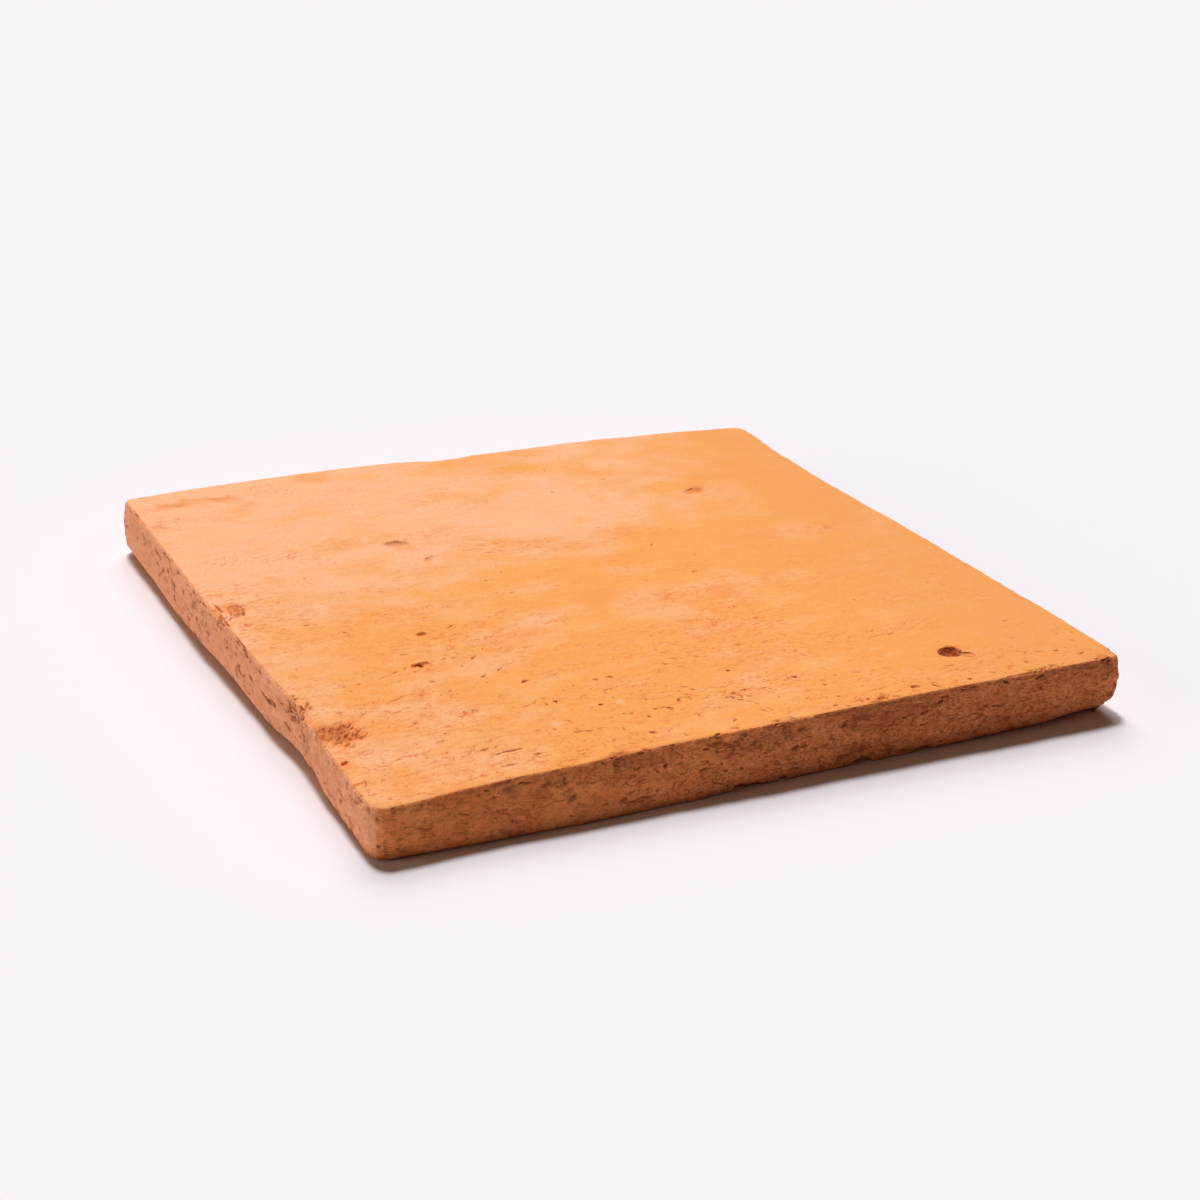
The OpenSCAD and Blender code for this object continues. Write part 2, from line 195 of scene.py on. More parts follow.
# Pores and cracks, placed by pixels of the photograph: u, v of one end and of the other, then
# width and depth in millimetres
MARKS = [
    (377, 679, 393, 674, 0.45, 0.40),
    (393, 673, 395, 672.5, 0.7, 0.55),
    (401, 669, 410, 669, 0.4, 0.35),
    (412, 667, 420, 665.5, 0.6, 0.5),
    (419, 665.5, 429, 665.5, 1.3, 0.9),
    (429, 669, 431, 669, 0.7, 0.5),
    (412, 672.5, 418, 671, 0.55, 0.45),
    (414, 678, 421, 677, 0.5, 0.4),
    (426, 680, 429, 680, 0.5, 0.4),
    (431, 681, 434, 681, 1.0, 0.8),
    (403, 654, 407, 654, 0.7, 0.55),
    (410, 660, 415, 660, 0.5, 0.4),
    (443, 659, 445, 659, 0.7, 0.5),
    (472, 657, 474, 657, 0.9, 0.8),
    (482, 676, 483, 676, 1.0, 0.9),
    (487, 682, 488.5, 682, 0.6, 0.5),
    (462, 665, 464, 665, 0.6, 0.4),
    (462, 676, 463.5, 676, 0.6, 0.4),
    (477, 681, 479, 681, 0.5, 0.4),
    (498, 669, 502, 668, 0.9, 0.9),
    (503, 671, 510, 673, 0.6, 0.5),
    (512, 677, 514, 677, 0.5, 0.4),
    (523, 680, 525, 679.5, 0.9, 0.8),
    (526, 692, 528, 694, 0.5, 0.4),
    (447, 690, 450, 690, 0.8, 0.6),
    (421, 692, 423, 692, 0.6, 0.4),
    (391, 682, 392, 682.5, 0.6, 0.4),
    (357, 684, 360, 684, 0.7, 0.5),
    (350, 691, 352, 691, 0.6, 0.4),
    (344, 632, 346, 632, 0.8, 0.5),
    (305, 625, 307, 625, 0.9, 0.7),
    (349, 660, 352, 660, 0.8, 0.4),
    (289, 678, 296, 676.5, 0.7, 0.6),
    (296, 669, 297, 669, 0.6, 0.4),
    (409, 724, 417, 722, 0.8, 0.7),
    (418, 728, 420, 728, 0.7, 0.5),
    (443, 713, 448, 712, 0.5, 0.5),
    (450, 711, 455, 710, 0.5, 0.4),
    (463, 712, 468, 711, 0.8, 0.7),
    (470, 709, 476, 710, 0.6, 0.5),
    (456, 715, 465, 718, 0.6, 0.5),
    (445, 733, 448, 733.5, 0.7, 0.5),
    (554, 701, 557, 701, 1.0, 0.8),
    (546, 703, 548, 703, 0.7, 0.5),
    (557, 695.5, 558.5, 695.5, 0.6, 0.5),
    (560, 690, 565, 690, 0.5, 0.4),
    (552, 674, 556, 673, 0.5, 0.4),
    (567, 686, 574, 685, 0.45, 0.4),
    (531, 664, 536, 665, 0.5, 0.4),
    (496, 704, 500, 703.5, 0.5, 0.4),
    (498, 696.5, 499, 696.5, 0.6, 0.5),
    (568, 720.5, 573, 721, 0.7, 0.5),
    (559, 717, 563, 717, 0.6, 0.4),
    (530, 731, 540, 730, 0.5, 0.4),
    (553, 728, 556, 729, 0.6, 0.5),
    (574, 732, 590, 730, 0.6, 0.5),
    (481, 750, 487, 748, 1.0, 0.6),
    (488, 758, 504, 751, 0.7, 0.5),
    (503, 751, 522, 748, 1.1, 0.7),
    (534, 754, 544, 752, 0.9, 0.7),
    (536, 746, 543, 744, 0.7, 0.5),
    (500, 766, 519, 763, 0.8, 0.6),
    (563, 740, 570, 741, 0.5, 0.4),
    (545, 741, 560, 742, 0.4, 0.3),
    (609, 676, 612, 676.5, 0.9, 0.9),
    (594, 679, 598, 678.5, 0.6, 0.5),
    (601, 689, 609, 689.5, 0.5, 0.5),
    (568, 686, 576, 685, 0.5, 0.4),
    (600, 703.5, 603, 703, 0.8, 0.8),
    (611, 696.5, 615, 697, 0.6, 0.5),
    (603, 697.5, 607, 697, 0.5, 0.4),
    (618, 700, 621, 700, 0.6, 0.4),
    (644, 697, 647, 700, 0.7, 0.6),
    (640, 703, 645, 702, 0.5, 0.4),
    (653, 709, 658, 708.5, 0.7, 0.6),
    (659, 708, 668, 706, 0.5, 0.5),
    (667, 707, 674, 708, 1.0, 0.9),
    (677, 700, 680, 698, 0.8, 0.7),
    (685, 695, 689, 694, 0.6, 0.5),
    (689, 697, 692, 698, 0.8, 0.7),
    (660, 692, 666, 691, 0.5, 0.5),
    (670, 697, 673, 696, 0.5, 0.4),
    (676, 691, 682, 690.5, 0.5, 0.4),
    (682, 686.5, 688, 686, 0.5, 0.5),
    (692, 689, 695, 689.5, 0.7, 0.6),
    (647, 686, 650, 686.5, 0.5, 0.4),
    (663, 664, 668, 663, 0.7, 0.6),
    (669, 658, 677, 658, 0.45, 0.4),
    (687, 652, 690, 652, 0.6, 0.4),
    (622, 714, 627, 713, 0.7, 0.6),
    (628, 713, 634, 711.5, 0.5, 0.5),
    (608, 718, 622, 715, 0.45, 0.4),
    (649, 732, 655, 730.5, 0.9, 0.7),
    (684, 734, 686, 734.5, 0.7, 0.5),
    (586, 731, 597, 729, 0.6, 0.5),
    (596, 729, 604, 726, 0.6, 0.5),
    (591, 723, 613, 721, 0.45, 0.4),
    (561, 720, 571, 721, 0.5, 0.4),
    (622, 727, 626, 730, 0.6, 0.4),
    (647, 716, 651, 716, 0.6, 0.5),
    (696, 715, 701, 713, 0.6, 0.4),
    (710, 710, 714, 709, 0.5, 0.4),
    (712, 721, 718, 720, 0.7, 0.5),
    (715, 736, 721, 733, 0.9, 0.6),
    (733, 721, 738, 719, 0.7, 0.6),
    (732, 728, 740, 727, 0.7, 0.5),
    (727, 670, 729, 670, 0.9, 0.9),
    (755, 667, 760, 666.5, 0.5, 0.5),
    (764, 671, 768, 671.5, 0.6, 0.6),
    (784, 675, 787, 674, 0.5, 0.4),
    (786, 677, 789, 677.5, 0.5, 0.4),
    (792, 677, 798, 676, 0.9, 1.0),
    (721, 692, 728, 690, 0.6, 0.6),
    (727, 697, 734, 696.5, 0.6, 0.6),
    (738, 699, 743, 699.5, 0.7, 0.7),
    (741, 690, 745, 689, 0.6, 0.5),
    (749, 696, 752, 695.5, 0.7, 0.7),
    (748, 689, 756, 688.5, 0.5, 0.5),
    (760, 688.5, 766, 687.5, 0.6, 0.6),
    (768, 688, 773, 688, 0.45, 0.5),
    (774, 690, 778, 689, 0.5, 0.4),
    (748, 701, 751, 701.5, 0.6, 0.5),
    (756, 703, 758, 703.5, 0.6, 0.5),
    (778, 697, 781, 696, 0.6, 0.5),
    (768, 707.5, 770.5, 708, 0.7, 0.6),
    (797, 686, 801, 685.5, 0.5, 0.4),
    (824, 668.5, 827, 668, 0.6, 0.8),
    (855, 672, 857, 672, 0.7, 0.7),
    (824, 684, 825.5, 684, 0.9, 1.0),
    (834, 675, 836, 675, 0.6, 0.4),
    (873, 670, 874.5, 670, 0.6, 0.5),
    (850, 660, 853, 660.5, 0.6, 0.4),
    (862, 685, 866, 685, 0.5, 0.4),
    (874, 686, 880, 687, 0.5, 0.4),
    (837, 696, 839, 696, 0.8, 0.7),
    (834, 705, 837, 704.5, 0.8, 0.8),
    (845, 705.5, 851, 705, 0.6, 0.5),
    (879, 693.5, 882, 693.5, 0.7, 0.7),
    (883, 697, 885, 697.5, 0.6, 0.6),
    (893, 695, 899, 695.5, 0.7, 0.7),
    (807, 690.5, 809, 690.5, 0.6, 0.5),
    (912, 686, 914, 685.5, 0.9, 1.1),
    (933, 684.5, 936, 685, 1.0, 1.1),
    (1111, 650, 1112, 657, 4.0, 0.8),
    (1112, 679, 1110, 694, 5.0, 0.9),
    (915, 679, 918, 679, 0.5, 0.4),
    (958, 672, 961, 671, 0.5, 0.4),
    (961, 671, 968, 671, 0.4, 0.4),
    (954, 680, 957, 680, 0.6, 0.5),
    (969, 678, 971, 678, 0.9, 0.8),
    (992, 672, 994, 671.5, 0.8, 0.7),
    (845, 640.5, 849, 641, 0.7, 0.4),
    (904, 636, 908, 636, 0.6, 0.4),
    (861, 651, 868, 650, 0.5, 0.4),
    (734, 644, 738, 643.5, 0.7, 0.4),
    (1025, 661, 1027, 661, 0.9, 0.7),
    (1024, 653, 1026, 653, 0.6, 0.4),
    (1038, 651, 1039, 651, 0.6, 0.5),
    (1055, 650, 1058, 650, 0.7, 0.6),
    (1014, 651, 1016, 651, 0.6, 0.4),
    (999, 657, 1001, 657, 0.7, 0.5),
    (1004, 627, 1008, 627, 0.7, 0.5),
    (1081, 653, 1085, 652, 0.9, 0.7),
    (1071, 640, 1073, 640, 0.7, 0.5),
    (1060, 664, 1068, 661, 0.7, 0.6),
    (793, 749, 799, 747, 1.0, 0.9),
    (799, 747, 808, 745, 0.9, 0.8),
    (757, 735, 763, 733, 0.6, 0.5),
    (741, 768, 743, 768, 0.8, 0.7),
    (764, 766.5, 768, 766, 0.6, 0.5),
    (842, 727, 847, 724, 1.1, 0.8),
    (846, 722, 848, 720, 0.7, 0.6),
    (884, 732, 889, 728, 0.8, 0.6),
    (888, 726, 893, 724, 0.8, 0.7),
    (853, 745, 860, 743, 0.8, 0.6),
    (860, 744, 864, 744, 0.6, 0.5),
    (802, 746, 807, 745, 0.7, 0.6),
    (830, 740, 833, 739, 0.8, 0.6),
    (903, 718, 909, 717, 0.8, 0.7),
    (921, 714, 926, 712, 0.8, 0.7),
    (926, 711, 934, 709, 0.6, 0.5),
    (945, 711, 952, 710, 0.6, 0.5),
    (934, 721, 943, 721, 0.5, 0.4),
    (939, 704, 943, 700, 1.2, 0.8),
    (941, 698, 948, 696, 0.7, 0.5),
    (958, 691, 967, 688, 0.6, 0.5),
    (968, 690, 976, 686, 0.8, 0.7),
    (982, 706, 988, 705, 0.5, 0.4),
    (992, 706, 1003, 704, 0.7, 0.6),
    (974, 714, 979, 713, 0.9, 0.5),
    (1003, 682, 1008, 682, 0.9, 0.8),
    (1010, 699, 1026, 698, 0.6, 0.5),
    (1035, 679, 1044, 675, 0.9, 0.8),
    (1036, 700, 1040, 701, 0.6, 0.5),
    (922, 735, 928, 729, 0.5, 0.4),
    (905, 750, 912, 739, 0.6, 0.5),
    (704, 749, 709, 748, 0.9, 0.5),
    (664, 766, 668, 764, 1.0, 0.7),
    (684, 795, 690, 792, 0.8, 0.5),
    (713, 783, 718, 783, 0.8, 0.5),
    (612, 763, 620, 766, 0.8, 0.6),
    (604, 804, 608, 803, 1.1, 0.6),
    (700, 771, 706, 769, 0.7, 0.5),
    (215, 604, 222, 612, 1.2, 0.7),
    (226, 622, 229, 626, 0.8, 0.6),
    (236, 641, 240, 646, 0.8, 0.5),
    (224, 637, 231, 648, 0.7, 0.6),
    (243, 650, 250, 662, 0.7, 0.6),
    (247, 672, 252, 682, 0.7, 0.5),
    (258, 670, 261, 676, 0.7, 0.5),
    (262, 690, 270, 704, 0.8, 0.6),
    (271, 700, 277, 711, 0.7, 0.5),
    (284, 722, 291, 733, 0.9, 0.7),
    (293, 733, 299, 744, 0.8, 0.6),
    (342, 765, 347, 761, 1.5, 0.9),
    (352, 842, 358, 848, 1.4, 0.6),
]

# Crumbled patches: u, v, half length, half height or depth, and how deep, in millimetres
CRUMBLED = [
    (343, 734, 7.0, 7.5, 0.65),
    (304, 744, 5.0, 5.0, 0.7),
    (299, 704, 4.0, 6.0, 0.8),
    (296, 716, 9.0, 4.0, 0.7),
    (236, 611, 4.5, 4.0, 0.25),
    (221, 622, 5.0, 3.0, 0.6),
    (464, 713, 5.0, 2.0, 0.35),
    (736, 695, 5.0, 3.0, 0.35),
    (614, 756, 5.0, 2.2, 0.6),
    (640, 752, 5.0, 1.6, 0.4),
    (782, 721, 6.0, 1.8, 0.5),
    (876, 699, 6.0, 2.0, 0.6),
    (1047, 668, 6.0, 1.8, 0.5),
    (1104, 657, 4.0, 3.0, 0.7),
    (951, 652, 2.6, 2.2, 0.3),
]

# A pit of the solid that crumbs mostly fill: u, v, and the radii in millimetres of its rim and of the
# face round it. Then the share of its depth that they fill.
CRUMB_FILLED = (236, 611, 3.6, 5.5)
CRUMB_SHARE = 0.8

# Soft stains: u, v, half length and half height in millimetres, and strength, dark above zero and pale
# below. Two rows are painted shade and one is painted light, as noted above them
STAINS_AND_PAINTED_LIGHT = [
    # Painted shade on the pit's far upper wall, then painted light on its lit lower floor
    (952, 647, 2.8, 1.8, 0.7),
    (944, 654, 2.2, 1.2, -0.35),
    (905, 716, 9.0, 5.0, 0.4),
    (299, 712, 5.0, 7.0, 0.12),
    (306, 745, 4.0, 5.0, 0.35),
    # Painted shade along a shallow groove near the back left
    (190, 503, 27.0, 2.2, 0.60),
    (331, 612, 3.0, 2.2, 0.45),
    (422, 634, 1.5, 1.8, 0.5),
    (431, 646, 1.2, 1.2, 0.4),
    (403, 547, 4.0, 4.0, 0.35),
    (430, 561, 3.0, 3.0, 0.3),
    (693, 491, 3.5, 3.0, 0.35),
    (516, 624, 1.2, 1.5, 0.35),
    (596, 598, 9.0, 7.0, 0.30),
    (730, 590, 9.0, 7.0, 0.38),
    (715, 490, 8.0, 7.0, 0.15),
    (338, 734, 8.0, 8.5, 0.70),
    (344, 763, 2.0, 2.0, 0.7),
    (232, 611, 5.0, 4.0, 0.55),
    (466, 714, 3.5, 2.0, 0.4),
    (614, 756, 4.5, 2.0, 0.5),
    (630, 753, 6.0, 2.0, 0.3),
    (784, 721, 6.0, 1.6, 0.5),
    (876, 699, 6.0, 1.6, 0.5),
    (1104, 657, 4.0, 2.5, 0.6),
    (463, 790, 3.0, 1.6, 0.5),
    (513, 792, 2.6, 3.0, 0.45),
    (547, 795, 2.6, 2.0, 0.4),
    (500, 833, 9.0, 2.2, 0.4),
    (650, 760, 10.0, 3.0, 0.35),
    (760, 740, 10.0, 4.0, 0.4),
    (790, 733, 9.0, 3.0, 0.3),
    (865, 722, 8.0, 4.5, 0.6),
    (845, 752, 5.0, 3.0, 0.4),
    (893, 706, 3.0, 3.0, 0.5),
    (1065, 706, 2.2, 1.8, -0.4),
    (604, 736, 4.0, 3.0, -0.45),
    (621, 702, 1.6, 1.8, -0.5),
    (436, 687, 1.0, 1.0, -0.6),
    (741, 683, 0.9, 1.0, -0.7),
    (558, 723, 2.2, 2.6, -0.45),
    (661, 470, 2.5, 4.0, -0.4),
    (735, 725, 1.5, 1.5, -0.3),
]


def cast(origin, direction):
    """The point of the tile that a ray meets."""
    place, _, _, _ = cad_tree.ray_cast(Vector(origin), Vector(direction))
    return None if place is None else np.array(place)


def scattered_face_marks(count, chance):
    """Random pores and short cracks of the face, in clusters and closer together towards the front."""
    tries = TRIES_FOR_EACH * count
    x = chance.uniform(box_low[0], box_high[0], tries)
    y = chance.uniform(box_low[1], box_high[1], tries)
    cluster = layered_noise(np.stack([x, y, 0 * x], 1), (24 * MM, 14 * MM, 1), 2, seed=7)
    likely = (0.12 + 0.88 * ramp(cluster, -0.1, 0.45)) * (0.22 + 0.78 * ramp(y, 45 * MM, -45 * MM))
    kept = np.nonzero(chance.random(tries) < likely)[0][:count]
    found = []
    for k in kept:
        crack = chance.random() < CRACK_SHARE
        length = chance.uniform(0.8, 2.4) if crack else chance.uniform(0.0, 0.5)
        angle = math.radians(chance.normal(8, 22))
        reach = np.array((math.cos(angle), math.sin(angle), 0)) * length * MM / 2
        middle = np.array((x[k], y[k], ABOVE))
        ends = [cast(middle - reach, (0, 0, -1)), cast(middle + reach, (0, 0, -1))]
        width = chance.uniform(0.45, 0.55) if crack else chance.uniform(0.5, 0.65)
        if ends[0] is not None and ends[1] is not None:
            found.append((ends[0], ends[1], width, chance.uniform(0.25, 0.5)))
    return found


def scattered_side_marks(count, normal, chance):
    """Random short cracks and pits of the side that faces along normal."""
    found = []
    outward = np.array((normal[0], normal[1], 0.0))
    along = np.array((normal[1], -normal[0], 0.0))
    for _ in range(count):
        lean = math.radians(chance.normal(5, 20))
        reach = along * math.cos(lean) + np.array((0, 0, math.sin(lean)))
        reach *= chance.uniform(0.2, 3.4) * MM / 2
        middle = OUTSIDE * outward + chance.uniform(-0.1, 0.1) * along
        middle[2] = chance.uniform(1.5, 14) * MM
        ends = [cast(middle - reach, -outward), cast(middle + reach, -outward)]
        if ends[0] is not None and ends[1] is not None:
            found.append((ends[0], ends[1], chance.uniform(0.5, 0.8), chance.uniform(0.3, 0.7)))
    return found


def all_marks():
    """Every pore and crack as its two ends, width and depth in millimetres."""
    chance = np.random.default_rng(SEED)
    found = []
    for u0, v0, u1, v1, width, depth in MARKS:
        found.append((seen_place(u0, v0)[0], seen_place(u1, v1)[0], max(width, THINNEST_MARK), depth))
    found += scattered_face_marks(FACE_MARKS, chance)
    for normal, count in SIDE_MARKS:
        found += scattered_side_marks(count, normal, chance)
    return found


def from_segment(p, a, b):
    """Distance of points p from the line between a and b, and how far along it they lie, from 0 to 1."""
    line = b - a
    share = np.clip((p - a) @ line / max(line @ line, 1e-12), 0, 1)
    return np.linalg.norm(p - a - share[:, None] * line, axis=1), share


def near_segment(p, a, b, reach):
    """Which of points p lie in the box round the line between a and b."""
    low, high = np.minimum(a, b) - reach, np.maximum(a, b) + reach
    return np.nonzero(((p > low) & (p < high)).all(1))[0]


def cell_of(p):
    """The cell of the grid of mesh steps in which each of points p lies."""
    return np.clip((p - box_low) / STEP_CELL, 0, np.array(step_shape) - 1).astype(int)


def lower_steps(grid, low, high, step, inside=None):
    """Lowers the grid's steps to step in all cells between two places, or in those that are inside."""
    low, high = cell_of(low), cell_of(high) + 1
    box = grid[low[0]:high[0], low[1]:high[1], low[2]:high[2]]
    if inside is None:
        np.minimum(box, step, out=box)
        return
    cells = np.indices(box.shape).reshape(3, -1).T + low
    kept = inside(box_low + (cells + 0.5) * STEP_CELL).reshape(box.shape)
    box[kept] = np.minimum(box[kept], step)


def grid_of_steps(marks):
    """The wanted edge length in each cell of a grid over the tile, fine round the marks and patches."""
    grid = np.full(step_shape, UNLIMITED)
    for a, b, width, _ in marks:
        reach = (width / 2 + 0.1) * MM
        step = MARK_STEP * max(1, width / 1.5)
        lower_steps(grid, np.minimum(a, b) - reach, np.maximum(a, b) + reach, step)
    for u, v, half_length, half_height, _ in CRUMBLED:
        middle, reach = seen_place(u, v)[0], 1.2 * max(half_length, half_height) * MM
        patch = [u, v, half_length, half_height, 0.15]
        lower_steps(
            grid, middle - reach, middle + reach, PATCH_STEP,
            lambda p, patch=patch: spot(p, *patch) > 0)
    return grid


def wanted_step(p, n, step_grid):
    """The longest edge that the relief mesh may have at points p with normals n."""
    shown = (n[:, 1] < -FACING) | (n[:, 0] < -FACING)
    step = np.where(n[:, 2] > LEVEL, FACE_STEP, np.where(shown, SHOWN_SIDE_STEP, OTHER_SIDE_STEP))
    x, y, z = cell_of(p).T
    step = np.minimum(step, step_grid[x, y, z])
    return np.where((n[:, 2] < -LEVEL) | (p[:, 2] < TOUCHING), UNDERSIDE_STEP, step)


def triangle_normals(points, triangles):
    """Normals of triangles, as long as twice their areas."""
    a, b, c = (points[triangles[:, k]] for k in range(3))
    return np.cross(b - a, c - a)


def gathered(which, vectors, count):
    """The directions of the sums of the vectors that belong to each of count things."""
    total = np.stack([np.bincount(which, vectors[:, axis], count) for axis in range(3)], 1)
    return total / (np.linalg.norm(total, axis=1, keepdims=True) + 1e-30)


def split_long_edges(points, triangles, step_grid):
    """Halves each edge that is longer than wanted there, and gives the new points and triangles."""
    pairs = [triangles[:, [0, 1]], triangles[:, [1, 2]], triangles[:, [2, 0]]]
    edges = np.sort(np.concatenate(pairs), axis=1)
    keys, which = np.unique(edges[:, 0] * len(points) + edges[:, 1], return_inverse=True)
    which = which.ravel()
    normals = gathered(which, np.tile(triangle_normals(points, triangles), (3, 1)), len(keys))
    first, last = points[keys // len(points)], points[keys % len(points)]
    middle = (first + last) / 2
    wanted = wanted_step(middle, normals, step_grid)
    long = np.linalg.norm(last - first, axis=1) > LENGTH_SLACK * wanted
    added = np.full(len(keys), -1)
    added[long] = len(points) + np.arange(long.sum())
    points = np.concatenate([points, middle[long]])

    # Each triangle turned so that its split edges come first
    half = added[which].reshape(3, -1).T
    corners, count = triangles.copy(), (half >= 0).sum(1)
    for _ in range(2):
        late = ((count == 1) & (half[:, 0] < 0)) | ((count == 2) & (half[:, 2] >= 0))
        corners[late] = np.roll(corners[late], -1, axis=1)
        half[late] = np.roll(half[late], -1, axis=1)

    # With one, two or three of its edges split, a triangle becomes two, three or four
    a, b, c = corners.T
    ab, bc, ca = half.T
    one, two, three = count == 1, count == 2, count == 3
    parts = [corners[count == 0]]
    parts += [np.stack(rows, 1)[one] for rows in ((a, ab, c), (ab, b, c))]
    parts += [np.stack(rows, 1)[two] for rows in ((ab, b, bc), (a, ab, bc), (a, bc, c))]
    quarters = ((a, ab, ca), (ab, b, bc), (ca, bc, c), (ab, bc, ca))
    parts += [np.stack(rows, 1)[three] for rows in quarters]
    return points, np.concatenate(parts)


def points_and_triangles(mesh):
    """A mesh's points and triangles as arrays."""
    mesh.calc_loop_triangles()
    places = np.zeros(len(mesh.vertices) * 3, np.float32)
    mesh.vertices.foreach_get("co", places)
    corners = np.zeros(len(mesh.loop_triangles) * 3, np.int32)
    mesh.loop_triangles.foreach_get("vertices", corners)
    return places.reshape(-1, 3).astype(float), corners.reshape(-1, 3).astype(int)


def welded(mesh):
    """Points and triangles of a mesh, with the points that lie together made one."""
    places, corners = points_and_triangles(mesh)
    rounded = np.round(places / WELDED)
    _, first, same = np.unique(rounded, axis=0, return_index=True, return_inverse=True)
    triangles = same.ravel()[corners]
    a, b, c = triangles.T
    return places[first], triangles[(a != b) & (b != c) & (c != a)]


def vertex_normals(points, triangles):
    """Normals of points, each the mean of the triangles round it by their areas."""
    faces = triangle_normals(points, triangles)
    return gathered(triangles.T.ravel(), np.tile(faces, (3, 1)), len(points))


def placed_marks(p, marks):
    """Depth in metres, and painted shade from 0 to 1, of the pores and cracks at points p."""
    depth, painted_shade = np.zeros(len(p)), np.zeros(len(p))
    wobble = layered_noise(p, 0.8 * MM, 2, seed=41)
    shift = np.stack([noise(p, 1.5 * MM, seed) for seed in (61, 67, 71)], 1) * 0.4 * MM
    for a, b, width, deep in marks:
        near = near_segment(p, a, b, (width + 0.8) * MM)
        gap, share = from_segment(p[near] + shift[near] * min(1, 0.7 / width), a, b)
        slim = ramp(np.linalg.norm(b - a), 0.4 * MM, 1.5 * MM)
        taper = 0.9 - 0.45 * slim * (1 - np.sin(math.pi * share))
        shape = 1 - (gap / (taper * width * MM / 2)) ** 2 + 0.5 * wobble[near]
        depth[near] = np.maximum(depth[near], np.sqrt(np.clip(shape, 0, 1)) * deep * MM)
        # Painted shade in the pore or crack: darker the deeper it is, fading out in marks wider than about
        # 2 mm
        tone = min(0.25 + 0.65 * deep, 1) * ramp(3.2 - width, 0, 1)
        painted_shade[near] = np.maximum(painted_shade[near], tone * ramp(shape, -0.25, 0.6))
    return depth, painted_shade


def spot(p, u, v, half_length, half_height, unevenness):
    """1 at the middle of a patch seen at pixel u, v, falling to 0 at its rim and below 0 outside."""
    middle, normal = seen_place(u, v)
    along = np.array((1.0, 0, 0)) if normal[2] > 0.7 else np.cross((0, 0, 1), normal)
    across = np.cross(normal, along)
    away = p - middle
    a, b = away @ along / (half_length * MM), away @ across / (half_height * MM)
    return 1 - np.sqrt(a * a + b * b + (away @ normal / (2.5 * MM)) ** 2) + unevenness


def placed_patches(p):
    """Depth in metres and painted shade in the torn hollows of the crumbled patches, at points p."""
    depth, painted_shade = np.zeros(len(p)), np.zeros(len(p))
    uneven = 0.45 * layered_noise(p, 3 * MM, 2, seed=73)
    turned = p @ np.array(((0.7, -0.7, 0), (0.7, 0.7, 0), (0, 0, 1)))
    cracks = ridges(turned, (2.8 * MM, 1.1 * MM, 1.4 * MM), 2, seed=43)
    lumps = layered_noise(p, 1.5 * MM, 3, seed=47)
    for u, v, half_length, half_height, deep in CRUMBLED:
        inside = ramp(spot(p, u, v, half_length, half_height, uneven), 0, 0.5)
        torn = inside * np.clip(0.15 + cracks * ramp(lumps, -0.7, 0.0) + 0.3 * lumps, 0, 1)
        depth = np.maximum(depth, torn * deep * MM)
        # Painted shade in the torn hollows
        painted_shade = np.maximum(painted_shade, torn)
    return depth, painted_shade


def stains_and_painted_light(p):
    """Soft stains at points p, from -1 for pale ones to 1 for dark ones; two are painted shade and one
    painted light.
    """
    total = np.zeros(len(p))
    uneven = 0.5 * layered_noise(p, 2.5 * MM, 3, seed=79)
    for u, v, half_length, half_height, strength in STAINS_AND_PAINTED_LIGHT:
        total += strength * ramp(spot(p, u, v, half_length, half_height, uneven), -0.1, 0.7)
    return np.clip(total, -1, 1)


def crumb_fill(p, n):
    """How far crumbs raise each point of the pit that they mostly fill, in metres."""
    u, v, rim, surround = CRUMB_FILLED
    away = np.linalg.norm((p - seen_place(u, v)[0])[:, :2], axis=1)
    level = np.median(p[(away > rim * MM) & (away < surround * MM) & (n[:, 2] > 0.97), 2])
    inside = ramp(away, rim * MM, 0.8 * rim * MM) * (n[:, 2] > 0.5)
    return CRUMB_SHARE * inside * np.clip(level - p[:, 2], 0, None)


def relief(p, n, marks):
    """How far points p sink along their normals in metres, how much painted shade their hollows get, and 1
    off the face.
    """
    top = ramp(n[:, 2], 0.75, 0.95)
    under = ramp(-n[:, 2], 0.6, 0.9)
    side = np.clip(1 - top - under, 0, 1)
    flat = p * (1, 1, 0)
    sink = top * FACE_WAVES * MM * (1 + layered_noise(flat, 34 * MM, 2, seed=3))
    sink += under * UNDERSIDE_WAVES * MM * (1 + layered_noise(flat, 12 * MM, 2, seed=59))

    # The sides: a trimmed skin with grit and, in bands, thin torn layers, with painted shade in the layers
    # and between the grit
    band = ramp(layered_noise(p, (20 * MM, 20 * MM, 6 * MM), 2, seed=19), -0.35, 0.35)
    waves = layered_noise(p, (9 * MM, 9 * MM, 5 * MM), 2, seed=31)
    grit = layered_noise(p, (2.2 * MM, 2.2 * MM, 1.5 * MM), 2, seed=29)
    layers = ridges(p, (7 * MM, 7 * MM, 2.4 * MM), 2, seed=23) * ramp(grit, -0.2, 0.2)
    skin = SIDE_WAVES * MM * waves + GRIT_DEPTH * MM * grit * (0.5 + 0.8 * band)
    sink += side * (skin + LAYER_DEPTH * MM * layers * band)
    # Painted shade in the torn layers and in the low places of the grit
    painted_shade = LAYER_SHADE * layers * band + GRIT_SHADE * ramp(grit, 0.0, 0.5)
    painted_shade = side * np.clip(painted_shade, 0, 1)

    placed, placed_shade = placed_marks(p, marks)
    torn, torn_shade = placed_patches(p)
    shown = 1 - under
    sink += shown * np.maximum(CUT_SHARE * placed, torn) - crumb_fill(p, n)
    # The pores, cracks and crumbled patches add their painted shade
    painted_shade = np.maximum(painted_shade, shown * np.maximum(placed_shade, CRUMBLED_SHADE * torn_shade))
    return sink, painted_shade, 1 - top


